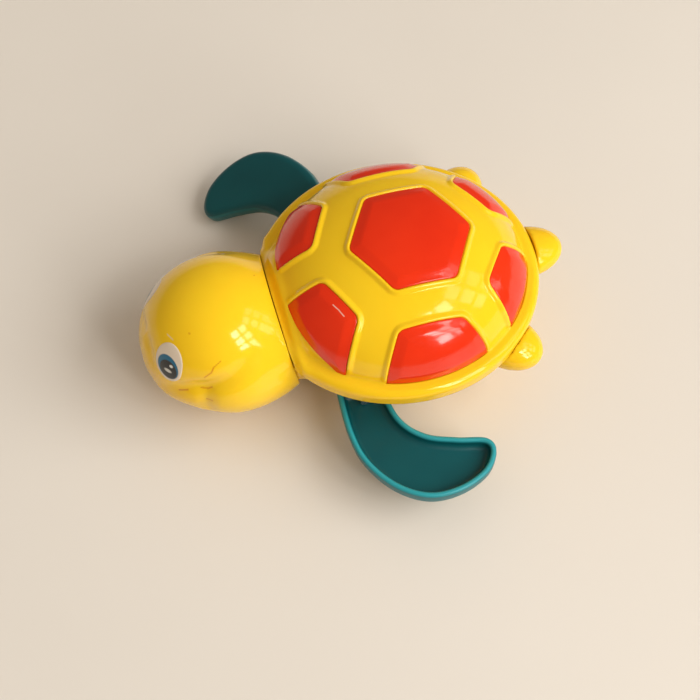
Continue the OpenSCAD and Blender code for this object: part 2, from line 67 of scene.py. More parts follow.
# Length over width of the oval rim
RIM_STRETCH = 37 / 35
RIM_HALF_LENGTH = RIM_HALF_WIDTH * RIM_STRETCH
RIM_X = shell_low[0] + RIM_HALF_LENGTH
RIM_ROLL = 4.4
RIM_LEDGE = 3.6
DOME_BASE = SPLIT + RIM_ROLL / 2
DOME_CENTRE = np.array([RIM_X, 0, DOME_BASE])
PLATE_PROUD = 0.9
DOME_SIZE = np.array([
    RIM_HALF_LENGTH - RIM_LEDGE, RIM_HALF_WIDTH - RIM_LEDGE, crown_high[2] - PLATE_PROUD - DOME_BASE
])
PLATE_FOOT_GAP = 0.1
PLATE_FOOT = DOME_BASE + RIM_ROLL / 2 + PLATE_FOOT_GAP

# The neck and its seam, which leans forward
NECK_SIZE = np.array([17.3, 13.1])
NECK_HEIGHT = 19.5
NECK_SEAM = 20.9
NECK_LEAN = math.radians(8)
SEAM_NORMAL = np.array([math.cos(NECK_LEAN), 0, -math.sin(NECK_LEAN)])
SEAM_POINT = np.array([NECK_SEAM, 0, NECK_HEIGHT])
SEAM_EDGE = 0.15

# Steps of the search for a surface, and of its slope
HALVINGS = 26
SLOPE_STEP = 0.02

# A scuff's strength, and the shares of its half width where it starts to fade and ends
MARK_STRENGTH = 0.8
MARK_CORE = 0.3
MARK_END = 1.2


# Distances to simple bodies; each takes an array of points and is negative inside
def ellipsoid(points, centre, size):
    near = (points - centre) / size
    length = norm(near, axis=-1)
    return length * (length - 1) / np.maximum(norm(near / size, axis=-1), TINY)


def smooth_union(a, b, blend):
    share = np.maximum(blend - np.abs(a - b), 0) / blend
    return np.minimum(a, b) - share * share * blend / 4


def smooth_cut(a, b, blend):
    return -smooth_union(-a, -b, blend)


def smooth_step(value, low, high):
    share = np.clip((value - low) / (high - low), 0, 1)
    return share * share * (3 - 2 * share)


def bump(value, centre, width):
    return np.exp(-(((value - centre) / width) ** 2))


def rounded_drop(inset, radius):
    """Nought inside an edge, and growing to one at it as a quarter of a circle does."""
    fall = 1 - np.sqrt(np.clip(1 - (1 - inset / radius) ** 2, 0, 1))
    return fall * (inset < radius)


def on_left_side(points):
    """The points with those of the right side mirrored to the left."""
    return points * [1, 0, 1] + np.abs(points[..., 1])[..., None] * [0, 1, 0]


def seam_distance(points):
    return (points - SEAM_POINT) @ SEAM_NORMAL


def neck_distance(points, grow=0.0):
    tube = ellipsoid(points[..., 1:], np.array([0, NECK_HEIGHT]), NECK_SIZE + grow)
    return np.maximum(tube, -points[..., 0])


def rim_distance(points):
    across = np.hypot((points[..., 0] - RIM_X) / RIM_STRETCH, points[..., 1])
    up = np.maximum(points[..., 2] - DOME_BASE, 0)
    return np.hypot(across - (RIM_HALF_WIDTH - RIM_ROLL / 2), up) - RIM_ROLL / 2


def turning_place(inside_at, low, high):
    """Where a test turns from inside to outside between two arrays of values."""
    for _ in range(HALVINGS):
        middle = (low + high) / 2
        inside = inside_at(middle)
        low = np.where(inside, middle, low)
        high = np.where(inside, high, middle)
    return (low + high) / 2


def surface_along(distance, start, direction, near, far):
    """The place on each ray from start where distance turns from inside to outside."""
    low = np.full(direction.shape[:-1], near, dtype=float)
    high = np.full(direction.shape[:-1], far, dtype=float)
    reach = turning_place(lambda middle: distance(start + direction * middle[..., None]) < 0, low, high)
    return start + direction * reach[..., None]


def slope_of(distance, points, step=SLOPE_STEP):
    parts = []
    for axis in np.eye(3):
        parts.append(distance(points + axis * step) - distance(points - axis * step))
    slope = np.stack(parts, axis=-1)
    return slope / np.maximum(norm(slope, axis=-1, keepdims=True), TINY)


def along_path(points, path, values):
    """Distance of each point to a path, and the value that the path has at the nearest place."""
    best = np.full(points.shape[:-1], np.inf)
    value = np.zeros(points.shape[:-1])
    for number in range(len(path) - 1):
        start, finish = path[number], path[number + 1]
        side = finish - start
        share = np.clip(((points - start) @ side) / (side @ side), 0, 1)
        distance = norm(points - start - share[..., None] * side, axis=-1)
        nearer = distance < best
        best = np.where(nearer, distance, best)
        value = np.where(nearer, values[number] + (values[number + 1] - values[number]) * share, value)
    return best, value


def marks(points, paths, middle):
    """How strongly paths of scuffs show at each point, both seen from a middle place."""
    value = np.zeros(len(points))
    for path, width in paths:
        arms = np.array(path, dtype=float) - middle
        reach = norm(arms, axis=1, keepdims=True)
        out = points - middle
        out = out / np.maximum(norm(out, axis=1, keepdims=True), TINY) * reach.mean()
        distance, _ = along_path(out, arms / reach * reach.mean(), np.zeros(len(path)))
        shown = 1 - smooth_step(distance, width * MARK_CORE, width * MARK_END)
        value = np.maximum(value, MARK_STRENGTH * shown)
    return value


# Meshes
def turns(first, last, count):
    """Evenly spaced angles, from degrees."""
    return np.radians(np.linspace(first, last, count))


def full_circle(count):
    return np.linspace(0, 2 * math.pi, count, endpoint=False)


def turned_round(faces):
    return [face[::-1] for face in faces]


def grid_faces(rows, columns):
    """Quads between closed rows of points."""
    row = np.arange(rows - 1)[:, None] * columns
    here = np.arange(columns)[None, :]
    beside = (here + 1) % columns
    quads = np.stack([row + here, row + beside, row + beside + columns, row + here + columns], axis=-1)
    return quads.reshape(-1, 4).tolist()


def fan_faces(columns, first, tip, outward):
    ring = np.arange(columns)
    beside = (ring + 1) % columns
    order = [ring + first, beside + first] if outward else [beside + first, ring + first]
    return [[int(a), int(b), tip] for a, b in zip(*order)]


def closed_faces(rows, columns, tip, outward):
    """Faces of closed rows that run together in point tip, and in the next point."""
    faces = grid_faces(rows, columns)
    if outward:
        faces = turned_round(faces)
    faces += fan_faces(columns, 0, tip, outward)
    faces += fan_faces(columns, (rows - 1) * columns, tip + 1, not outward)
    return faces


def new_object(name, data):
    thing = bpy.data.objects.new(name, data)
    bpy.context.scene.collection.objects.link(thing)
    return thing


def add_piece(
    name, points, faces, material, nodes, body="hull", wear_and_sheen=None, scratch=None, place=None, turn=None
):
    """A mesh from points in millimetres, as a piece that rides a body and stands for nodes of the frame."""
    points = np.asarray(points).reshape(-1, 3)
    mesh = bpy.data.meshes.new(name)
    mesh.from_pydata((points * MM).tolist(), [], faces)
    mesh.shade_smooth()
    # The first attribute holds real wear marks on the head and plates, and a painted highlight on the
    # flippers' lip
    for label, values in (("wear_and_sheen", wear_and_sheen), ("scratch", scratch)):
        if values is not None:
            attribute = mesh.attributes.new(label, "FLOAT", "POINT")
            attribute.data.foreach_set("value", np.asarray(values, dtype=np.float32))
    piece = new_object(name, mesh)
    mesh.materials.append(material)
    if place is not None:
        piece.location = place * MM
        piece.rotation_euler = turn.to_euler()
    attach(piece, body)
    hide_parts(*nodes)


# Materials: scales and ranges of their noise, and depths in metres
DRIFT_SCALE = 38
DRIFT_RANGE = (0.35, 0.7)
SCUFF_SCALE = 900
SCUFF_GRAIN = 0.7
SCUFF_RANGE = (0.45, 0.75)
SCUFF_DULLING = 0.1
SKIN_SCALE = 160
SKIN_DEPTH = 0.0004
PLASTIC_IOR = 1.5
COAT_ROUGHNESS = 0.04
SOFT_RADIUS = (0.004, 0.002, 0.0006)
BRUSH_STRETCH = (1, 14, 1)
BRUSH_SHADE = 0.72
BRUSH_DULLING = 0.18
BRUSH_STRENGTH = 0.15
BRUSH_DEPTH = 0.0001
SCRATCHED = (0.75, 0.62, 0.50)
WHITE = (1, 1, 1)


def new_material(name):
    material = bpy.data.materials.new(name)
    material.use_nodes = True
    nodes = material.node_tree.nodes
    place = nodes.new("ShaderNodeTexCoord").outputs["Object"]
    return material, nodes, material.node_tree.links, nodes["Principled BSDF"], place


def set_inputs(node, **values):
    """Set inputs by name, with underscores for spaces."""
    for name, value in values.items():
        node.inputs[name.replace("_", " ")].default_value = value


def noise(nodes, links, place, scale, detail=2.0, roughness=0.5):
    node = nodes.new("ShaderNodeTexNoise")
    set_inputs(node, Scale=scale, Detail=detail, Roughness=roughness)
    links.new(place, node.inputs["Vector"])
    return node.outputs["Fac"]


def mapped(nodes, links, value, low, high, from_low=0.0, from_high=1.0):
    node = nodes.new("ShaderNodeMapRange")
    set_inputs(node, From_Min=from_low, From_Max=from_high, To_Min=low, To_Max=high)
    links.new(value, node.inputs["Value"])
    return node.outputs["Result"]


def mixed(nodes, links, share, first, second):
    node = nodes.new("ShaderNodeMix")
    node.data_type = "RGBA"
    links.new(share, node.inputs["Factor"])
    for socket, colour in ((node.inputs[6], first), (node.inputs[7], second)):
        if isinstance(colour, bpy.types.NodeSocket):
            links.new(colour, socket)
        else:
            socket.default_value = (*colour, 1)
    return node.outputs[2]


def bumped(nodes, links, shader, height, strength, depth):
    skin = nodes.new("ShaderNodeBump")
    set_inputs(skin, Strength=strength, Distance=depth)
    links.new(height, skin.inputs["Height"])
    links.new(skin.outputs["Normal"], shader.inputs["Normal"])


def moulded_plastic(
    name, colour, shade, gloss=0.1, wave=0.12, soft=0.0, wear_and_sheen_colour=None, coat=0.25, tint=WHITE
):
    """Moulded plastic: slow colour drift, a slightly wavy skin, fine scuffs, scratches, and a laid-on colour
    that is real wear on the yellow and red pieces and a painted highlight on the flippers' lip.
    """
    material, nodes, links, shader, place = new_material(name)
    drift = mapped(nodes, links, noise(nodes, links, place, DRIFT_SCALE, 3), 0.0, 1.0, *DRIFT_RANGE)
    base = mixed(nodes, links, drift, colour, shade)
    # Laid-on colours: real wear on yellow and red, a painted highlight on teal; then real scratches
    for label, mark in (("wear_and_sheen", wear_and_sheen_colour or colour), ("scratch", SCRATCHED)):
        kept = nodes.new("ShaderNodeAttribute")
        kept.attribute_name = label
        base = mixed(nodes, links, kept.outputs["Fac"], base, mark)
    links.new(base, shader.inputs["Base Color"])
    fine = noise(nodes, links, place, SCUFF_SCALE, 6, SCUFF_GRAIN)
    scuffs = mapped(nodes, links, fine, gloss, gloss + SCUFF_DULLING, *SCUFF_RANGE)
    links.new(scuffs, shader.inputs["Roughness"])
    bumped(nodes, links, shader, noise(nodes, links, place, SKIN_SCALE, 1), wave, SKIN_DEPTH)
    set_inputs(shader, IOR=PLASTIC_IOR, Specular_Tint=(*tint, 1))
    set_inputs(shader, Coat_Weight=coat, Coat_Roughness=COAT_ROUGHNESS)
    if soft:
        set_inputs(shader, Subsurface_Weight=soft, Subsurface_Radius=SOFT_RADIUS, Subsurface_Scale=1.0)
    return material


def metal(name, colour, gloss, grain):
    """Metal with fine lines along one way."""
    material, nodes, links, shader, place = new_material(name)
    stretch = nodes.new("ShaderNodeMapping")
    set_inputs(stretch, Scale=BRUSH_STRETCH)
    links.new(place, stretch.inputs["Vector"])
    lines = noise(nodes, links, stretch.outputs["Vector"], grain, 4)
    dark = tuple(BRUSH_SHADE * part for part in colour)
    base = mixed(nodes, links, mapped(nodes, links, lines, 0, 1, *DRIFT_RANGE), colour, dark)
    links.new(base, shader.inputs["Base Color"])
    links.new(mapped(nodes, links, lines, gloss, gloss + BRUSH_DULLING), shader.inputs["Roughness"])
    set_inputs(shader, Metallic=1.0)
    bumped(nodes, links, shader, lines, BRUSH_STRENGTH, BRUSH_DEPTH)
    return material


YELLOW = (0.93, 0.585, 0.014)
YELLOW_DEEP = (0.89, 0.53, 0.010)
YELLOW_MARK = (0.60, 0.17, 0.004)
WARM_GLOSS = (1.0, 0.88, 0.66)
RED = (0.80, 0.033, 0.004)
RED_DEEP = (0.70, 0.022, 0.003)
RED_NICK = (0.05, 0.010, 0.004)
CREAM = (0.74, 0.62, 0.49)
CREAM_DEEP = (0.70, 0.57, 0.43)
TEAL = (0.0008, 0.090, 0.100)
TEAL_DEEP = (0.0004, 0.066, 0.076)
# Pale teal for the flippers' lip: a painted highlight, not wear
TEAL_LIP_SHEEN = (0.030, 0.400, 0.450)
NYLON = (0.72, 0.72, 0.68)
NYLON_DEEP = (0.64, 0.64, 0.60)
RUBBER = (0.02, 0.02, 0.02)
RUBBER_DEEP = (0.03, 0.03, 0.03)
STEEL = (0.62, 0.63, 0.65)
BRASS = (0.78, 0.56, 0.24)
yellow = moulded_plastic("yellow_plastic", YELLOW, YELLOW_DEEP, 0.09, 0.1, 0.1, YELLOW_MARK, 0.3, WARM_GLOSS)
red = moulded_plastic("red_plastic", RED, RED_DEEP, 0.12, 0.1, wear_and_sheen_colour=RED_NICK)
cream = moulded_plastic("cream_plastic", CREAM, CREAM_DEEP, 0.10, 0.03)
# The teal's laid-on colour is a painted highlight on the flippers' lip
teal = moulded_plastic("teal_plastic", TEAL, TEAL_DEEP, 0.34, 0.06, wear_and_sheen_colour=TEAL_LIP_SHEEN, coat=0.0)
nylon = moulded_plastic("white_nylon", NYLON, NYLON_DEEP, 0.35, 0.2)
rubber = moulded_plastic("black_rubber", RUBBER, RUBBER_DEEP, 0.6, 0.2)
steel = metal("bright_steel", STEEL, 0.18, 900)
brass = metal("stamped_brass", BRASS, 0.22, 700)


# Outlines of the red plates, seen from above: shares of the dome's half length and half width
FRONT_PLATE_SHARES = [[0.628, 0.160], [1.100, 0.165], [1.040, 0.900], [0.690, 0.900], [0.450, 0.530]]
SIDE_PLATE_SHARES = [[0.190, 0.712], [0.480, 1.150], [-0.620, 1.060], [-0.300, 0.712]]
REAR_PLATE_SHARES = [[-0.765, 0.170], [-0.560, 0.480], [-0.800, 0.900], [-1.300, 0.170]]
PLATE_CORNER = 2.2
CROWN_CORNERS = 6
# The front plates end at a line whose reach grows with the bearing from the head
FRONT_BEARINGS = 60
FRONT_LIMIT = 0.893
FRONT_LIMIT_GROWTH = 0.0021
OTHER_LIMIT = 1.5
# How far out a plate's middle is looked from, and how far its edge is searched for
MIDDLE_REACH = 0.85
NEARLY_UP = 0.99
EDGE_SEARCH = 2.0
EDGE_STEPS = 360


def on_dome(shares):
    return np.array(shares) * DOME_SIZE[:2] + DOME_CENTRE[:2]


def other_side(outline):
    return (outline * [1, -1])[::-1]


crown_middle = (crown_low + crown_high) / 2
crown_reach = (crown_high[0] - crown_low[0]) / 2
crown_outline = np.array([
    [crown_middle[0] + crown_reach * math.cos(math.radians(360 / CROWN_CORNERS * corner)),
     crown_reach * math.sin(math.radians(360 / CROWN_CORNERS * corner))]
    for corner in range(CROWN_CORNERS)
])
PLATES = {"crown_plate": crown_outline}
for prefix, plate_shares in (
    ("front_", FRONT_PLATE_SHARES), ("", SIDE_PLATE_SHARES), ("rear_", REAR_PLATE_SHARES)
):
    PLATES[prefix + "left_plate"] = on_dome(plate_shares)
    PLATES[prefix + "right_plate"] = other_side(on_dome(plate_shares))


def outline_grown(outline, distance):
    sides = np.roll(outline, -1, axis=0) - outline
    sides /= norm(sides, axis=1, keepdims=True)
    normals = np.stack([sides[:, 1], -sides[:, 0]], axis=1)
    before = np.roll(normals, 1, axis=0)
    scale = distance / (1 + (normals * before).sum(axis=1, keepdims=True))
    return outline + (normals + before) * scale


def outline_distance(points, outline):
    """Distance in plan to an outline of straight sides, negative inside, with rounded corners."""
    inner = outline_grown(outline, -PLATE_CORNER)
    best = np.full(points.shape[:-1], np.inf)
    inside = np.ones(points.shape[:-1], dtype=bool)
    for start, finish in zip(inner, np.roll(inner, -1, axis=0)):
        side = finish - start
        along = np.clip(((points - start) @ side) / (side @ side), 0, 1)
        best = np.minimum(best, norm(points - start - along[..., None] * side, axis=-1))
        inside &= (side[0] * (points[..., 1] - start[1]) - side[1] * (points[..., 0] - start[0])) > 0
    return np.where(inside, -best, best) - PLATE_CORNER


def dome_point(direction, lift=0.0):
    """The point of the dome in a direction of its unit sphere, lifted along the dome's normal."""
    point = DOME_CENTRE + DOME_SIZE * direction
    normal = direction / DOME_SIZE
    normal = normal / norm(normal, axis=-1, keepdims=True)
    return point + normal * np.asarray(lift)[..., None]


def foot_distance(points):
    """Distance past the line or the height where the plates end below."""
    share = (points[..., :2] - DOME_CENTRE[:2]) / DOME_SIZE[:2]
    bearing = np.degrees(np.arctan2(np.abs(share[..., 1]), share[..., 0]))
    limit = np.where(bearing < FRONT_BEARINGS, FRONT_LIMIT + FRONT_LIMIT_GROWTH * bearing, OTHER_LIMIT)
    return np.maximum((norm(share, axis=-1) - limit) * DOME_SIZE[1], PLATE_FOOT - points[..., 2])


def plate_distance(points, outline):
    return np.maximum(outline_distance(points[..., :2], outline), foot_distance(points))


# Each plate's edge on the dome, found by turning round from its middle
def plate_frame(outline):
    """Directions from the dome's centre: to the plate's middle, across the plate and up it."""
    middle = (outline.mean(axis=0) - DOME_CENTRE[:2]) / DOME_SIZE[:2]
    if norm(middle) > MIDDLE_REACH:
        middle = middle * MIDDLE_REACH / norm(middle)
    toward = np.array([*middle, math.sqrt(1 - middle @ middle)])
    across = np.cross([0, 0, 1], toward) if abs(toward[2]) < NEARLY_UP else np.array([0, 1.0, 0])
    across /= norm(across)
    return toward, across, np.cross(toward, across)


plate_frames = {plate: plate_frame(outline) for plate, outline in PLATES.items()}
edge_angles = full_circle(EDGE_STEPS)


def patch_direction(plate, reach):
    """Directions all round a plate's middle, at a reach from it."""
    toward, across, upward = plate_frames[plate]
    spread = np.cos(edge_angles)[..., None] * across + np.sin(edge_angles)[..., None] * upward
    direction = toward + spread * np.asarray(reach)[..., None]
    return direction / norm(direction, axis=-1, keepdims=True)


def plate_edge(plate):
    def inside_at(reach):
        return plate_distance(dome_point(patch_direction(plate, reach)), PLATES[plate]) < 0

    return turning_place(inside_at, np.zeros(EDGE_STEPS), np.full(EDGE_STEPS, EDGE_SEARCH))


def tree_of(points):
    tree = KDTree(len(points))
    for number, point in enumerate(points):
        tree.insert(Vector(point), number)
    tree.balance()
    return tree


plate_edges = {plate: plate_edge(plate) for plate in PLATES}
edge_points = np.concatenate([
    dome_point(patch_direction(plate, plate_edges[plate])) for plate in PLATES
])
edge_tree = tree_of(edge_points)


def nearest_edge(points):
    """Distance to the nearest plate edge, and how far that place of the edge is from the plate's foot."""
    distances = np.empty(len(points))
    numbers = np.empty(len(points), dtype=int)
    for number, point in enumerate(points.tolist()):
        _, numbers[number], distances[number] = edge_tree.find(point)
    return distances, -foot_distance(edge_points)[numbers]


# Shell: beads round the plates, a recess under each plate, a ridge and a cove at the neck
RIM_BLEND = 1.6
SHELL_NECK_BLEND = 4.5
BEAD_HEIGHT = 0.65
BEAD_WIDTH = 1.1
BEAD_INNER_SIDE = (-0.1, 0.35)
BEAD_OUTER_SIDE = (BEAD_WIDTH - 0.55, BEAD_WIDTH + 0.75)
# The bead sinks to a share of its height along the plate's foot
BEAD_FOOT_SHARE = 0.12
BEAD_FOOT_FADE = (0.1, 1.2)
RECESS_DEPTH = 0.9
RECESS_EDGE = 0.5
RIDGE_X = 19.0
RIDGE_HEIGHT = 0.35
RIDGE_WIDTH = 1.1
COVE_X = 21.1
COVE_DEPTH = 0.45
COVE_WIDTH = 1.3
# Sum of height and distance from the middle plane where ridge and cove begin and are full
OVER_NECK = (29, 34)
RELIEF_START = 1.0
SHELL_WALL = 2
LIP_SETBACK = 0.25
LIP_LIFT = 0.05
LIP_LAND = 0.6
SEAM_HOLD_BACK = 0.3
# Rows of the mesh: first and last turn from the top in degrees, and their number
SHELL_BEARINGS = 900
DOME_TURNS = (0.4, 84, 230)
ROLL_TURNS = (150, 0, 44)
HOLLOW_TURNS = (94, 4, 18)
RIM_FOOT_ROWS = 10
RAY_HEIGHT = -30.0
RAY_OVERREACH = 1.25


def shell_body(points):
    body = smooth_union(ellipsoid(points, DOME_CENTRE, DOME_SIZE), rim_distance(points), RIM_BLEND)
    body = smooth_union(body, neck_distance(points), SHELL_NECK_BLEND)
    return smooth_cut(body, seam_distance(points), SEAM_EDGE)


def shell_targets():
    """Places, as share of width and as height, that the rays to the shell are aimed at."""
    turn = turns(*DOME_TURNS)
    dome = np.stack([DOME_SIZE[1] * np.sin(turn), DOME_BASE + DOME_SIZE[2] * np.cos(turn)], axis=1)
    middle = RIM_HALF_WIDTH - RIM_ROLL / 2
    turn = turns(*ROLL_TURNS)
    roll = np.stack([middle + RIM_ROLL / 2 * np.cos(turn), DOME_BASE + RIM_ROLL / 2 * np.sin(turn)], axis=1)
    foot = np.array([[RIM_HALF_WIDTH, height] for height in np.linspace(DOME_BASE, SPLIT, RIM_FOOT_ROWS)[1:]])
    return np.concatenate([dome, roll, foot])


def shell_outside(bearings):
    """Rows where rays from below leave the shell, from the crown down to the joint."""
    targets = shell_targets()
    start = np.array([RIM_X, 0, RAY_HEIGHT])
    aim = np.empty((len(targets), SHELL_BEARINGS, 3))
    aim[..., 0] = targets[:, :1] * RIM_STRETCH * np.cos(bearings)
    aim[..., 1] = targets[:, :1] * np.sin(bearings)
    aim[..., 2] = targets[:, 1:] - RAY_HEIGHT
    length = norm(aim, axis=-1, keepdims=True)
    direction = aim / length
    entry = (SPLIT - RAY_HEIGHT) / direction[..., 2]
    return surface_along(shell_body, start, direction, entry, length[..., 0] * RAY_OVERREACH)


def shell_relief(points):
    """How far beads and ridge stand out of the plain shell, and recesses and cove go in."""
    inside = np.zeros(len(points), dtype=bool)
    for outline in PLATES.values():
        inside |= plate_distance(points, outline) < 0
    distance, above_foot = nearest_edge(points)
    height = BEAD_FOOT_SHARE + (1 - BEAD_FOOT_SHARE) * smooth_step(above_foot, *BEAD_FOOT_FADE)
    rise = smooth_step(distance, *BEAD_INNER_SIDE) * (1 - smooth_step(distance, *BEAD_OUTER_SIDE))
    recess = -RECESS_DEPTH * smooth_step(distance, 0.0, RECESS_EDGE)
    lift = np.where(inside, recess, BEAD_HEIGHT * rise * height)
    ahead = points[:, 0] - (points[:, 2] - NECK_HEIGHT) * math.tan(NECK_LEAN / 2)
    over = smooth_step(np.abs(points[:, 1]) + points[:, 2], *OVER_NECK)
    lift += RIDGE_HEIGHT * bump(ahead, RIDGE_X, RIDGE_WIDTH) * over * ~inside
    lift -= COVE_DEPTH * bump(ahead, COVE_X, COVE_WIDTH) * over
    return lift * smooth_step(points[:, 2], SPLIT, SPLIT + RELIEF_START)


def shell_hollow(bearings):
    """Rows of the lip at the joint and of the hollow side, held back from the neck's seam."""
    lip = np.array([
        [RIM_HALF_WIDTH - LIP_SETBACK, SPLIT + LIP_LIFT],
        [RIM_HALF_WIDTH - LIP_LAND, SPLIT],
        [RIM_HALF_WIDTH - RIM_ROLL, SPLIT]
    ])
    turn = turns(*HOLLOW_TURNS)
    across = (DOME_SIZE[1] - SHELL_WALL) * np.sin(turn)
    up = DOME_BASE + (DOME_SIZE[2] - SHELL_WALL) * np.cos(turn)
    profile = np.concatenate([lip, np.stack([across, up], axis=1)])
    rows = np.empty((len(profile), SHELL_BEARINGS, 3))
    rows[..., 0] = RIM_X + profile[:, :1] * RIM_STRETCH * np.cos(bearings)
    rows[..., 1] = profile[:, :1] * np.sin(bearings)
    rows[..., 2] = profile[:, 1:]
    rows[..., 0] -= np.maximum(seam_distance(rows) + SEAM_HOLD_BACK, 0) / SEAM_NORMAL[0]
    return rows


def make_shell():
    bearings = full_circle(SHELL_BEARINGS)
    outside = shell_outside(bearings)
    flat = outside.reshape(-1, 3)
    flat = flat + slope_of(shell_body, flat) * shell_relief(flat)[:, None]
    grid = np.concatenate([flat.reshape(outside.shape), shell_hollow(bearings)])
    top = [RIM_X, 0, float(grid[0, :, 2].max())]
    under = [RIM_X, 0, float(grid[-1, :, 2].max())]
    points = np.concatenate([grid.reshape(-1, 3), [top, under]])
    faces = closed_faces(len(grid), SHELL_BEARINGS, len(points) - 2, True)
    add_piece("shell", points, faces, yellow, nodes=["upper_shell"])


# Plates, each a pillow whose edge turns down into its recess
PILLOW_EDGE = 0.45
PILLOW_RISE = 0.44
PILLOW_REACH = 3.2
EDGE_ROLL = 0.32
EDGE_ROLL_REACH = 0.4
SKIRT_DEPTHS = (0.1, 0.9)
PLATE_END = 0.9985
PLATE_ROWS = np.concatenate([np.linspace(0.01, 0.86, 60), np.linspace(0.87, 1.0, 28)[:-1], [PLATE_END]])
# Scuffs, each a short path and its half width
PLATE_SCRATCHES = {"front_left_plate": [([[8.9, 11.4, 41.0], [8.0, 13.1, 40.9], [7.1, 14.9, 40.5]], 0.12)]}
PLATE_NICKS = {"rear_left_plate": [([[-30.9, 21.6, 34.3], [-31.9, 21.3, 33.5], [-32.9, 21.0, 32.7]], 0.2)]}


def plate_grid(plate):
    """Rows from the plate's middle to its edge, then down into the recess."""
    reach = plate_edges[plate]
    tree = tree_of(dome_point(patch_direction(plate, reach)))
    rows = []
    for share in PLATE_ROWS:
        direction = patch_direction(plate, reach * share)
        inset = np.array([tree.find(point)[2] for point in dome_point(direction).tolist()])
        pillow = PILLOW_EDGE + PILLOW_RISE * smooth_step(inset, 0.0, PILLOW_REACH)
        rows.append(dome_point(direction, pillow - EDGE_ROLL * rounded_drop(inset, EDGE_ROLL_REACH)))
    edge = patch_direction(plate, reach * PLATE_END)
    for depth in SKIRT_DEPTHS:
        rows.append(dome_point(edge, np.full(EDGE_STEPS, -depth)))
    return np.stack(rows)


def make_plates():
    for plate in PLATES:
        grid = plate_grid(plate)
        middle = dome_point(plate_frames[plate][0], np.array(PILLOW_EDGE + PILLOW_RISE))
        points = np.concatenate([grid.reshape(-1, 3), middle[None]])
        faces = turned_round(grid_faces(len(grid), EDGE_STEPS))
        faces += fan_faces(EDGE_STEPS, 0, len(grid) * EDGE_STEPS, True)
        last_row = (len(grid) - 1) * EDGE_STEPS
        faces.append([last_row + step for step in range(EDGE_STEPS)][::-1])
        add_piece(
            plate + "_skin", points, faces, red, nodes=[plate],
            wear_and_sheen=marks(points, PLATE_NICKS.get(plate, []), DOME_CENTRE),
            scratch=marks(points, PLATE_SCRATCHES.get(plate, []), DOME_CENTRE)
        )


# Head: middle and half sizes of its round forms, and how softly they run together
SKULL = ((36.6, 0, 20.6), (20.8, 20.0, 19.8))
MUZZLE = ((38.0, 0, 18.9), (19.1, 19.8, 12.8))
CHEEKS = ((32.4, 0, 18.4), (23.4, 21.0, 17.4))
CHEEKS_BLEND = 2.0
MUZZLE_BLEND = 1.6
COLLAR_BLEND = 1.0
COLLAR_PROUD = 0.1
COLLAR_REACH = 1.0
SEAM_LAP = 0.15
# The edge at the seam: the share of the last turn where it begins to round, and how far it goes in
SEAM_ROUND_START = 0.985
SEAM_ROUND = 0.14
HEAD_MIDDLE = np.array([33, 0, 19])
HEAD_BEARINGS = 480
HEAD_RAY = (1, 60)
HEAD_TURNS = (60, 178)
HEAD_ROWS = np.concatenate([np.linspace(0.004, 0.97, 320), np.linspace(0.972, 1, 14)])
HEAD_END_SHARES = (0.9, 0.5)

# Creases of the turtle's left side, from the front back: path, depths and width
SMILE = (np.array([
    [56.5, 5.0, 17.0], [53.4, 10.8, 19.7], [49.6, 14.1, 23.0], [46.5, 16.7, 25.0], [43.7, 18.3, 26.1],
    [40.8, 19.1, 27.6], [37.7, 19.4, 29.1], [33.1, 18.2, 32.0], [28.6, 16.0, 34.1]
]), (0.0, 0.7, 1.4, 1.8, 1.8, 1.6, 1.3, 0.8, 0.0), 2.6)
SMILE_CORNER = (np.array([
    [43.9, 18.0, 26.0], [44.6, 18.8, 22.0], [45.2, 20.2, 17.5], [45.0, 20.5, 12.5]
]), (0.2, 0.9, 1.1, 0.0), 2.2)
BROW = (np.array([
    [55.4, 0.0, 29.4], [55.5, 2.2, 28.6], [55.4, 4.2, 27.4], [55.0, 6.0, 25.8], [54.4, 8.0, 24.0]
]), (0.3, 0.7, 0.8, 0.6, 0.0), 2.0)
# Bulges: middle, half sizes and height
CHEEK = ((36.0, 20.0, 20.0), (8.0, 6.5, 8.0), 1.5)
SNOUT = ((53.0, 9.0, 15.0), (5.0, 6.0, 6.0), 0.55)
# Distances from the seam where the face's relief begins and is full
FACE_FADE = (0.3, 4.0)

# Scuffs on the head, each a short path and its half width
HEAD_MARKS = [
    ([[50.6, 14.2, 21.4], [48.8, 15.6, 22.6]], 0.30),
    ([[46.0, 17.3, 24.2], [44.4, 18.3, 24.4], [43.2, 18.6, 25.3]], 0.22),
    ([[44.8, 18.8, 21.2], [43.2, 19.4, 21.4]], 0.26),
    ([[44.2, 16.8, 29.3], [42.2, 16.7, 30.9], [41.4, 16.1, 32.2]], 0.24),
    ([[41.4, 16.1, 32.2], [39.3, 15.7, 33.8]], 0.16),
    ([[44.9, 7.4, 36.5], [44.6, 7.5, 36.6]], 0.20),
    ([[25.0, -4.5, 39.0], [24.8, -4.6, 39.0]], 0.22)
]
HEAD_SCRATCHES = [([[49.6, 4.9, 34.0], [48.6, 6.7, 34.0]], 0.16)]


def head_body(points):
    ball = smooth_union(ellipsoid(points, *SKULL), ellipsoid(points, *CHEEKS), CHEEKS_BLEND)
    ball = smooth_union(ball, ellipsoid(points, *MUZZLE), MUZZLE_BLEND)
    collar = np.maximum(neck_distance(points, COLLAR_PROUD), seam_distance(points) - COLLAR_REACH)
    return smooth_union(ball, collar, COLLAR_BLEND)


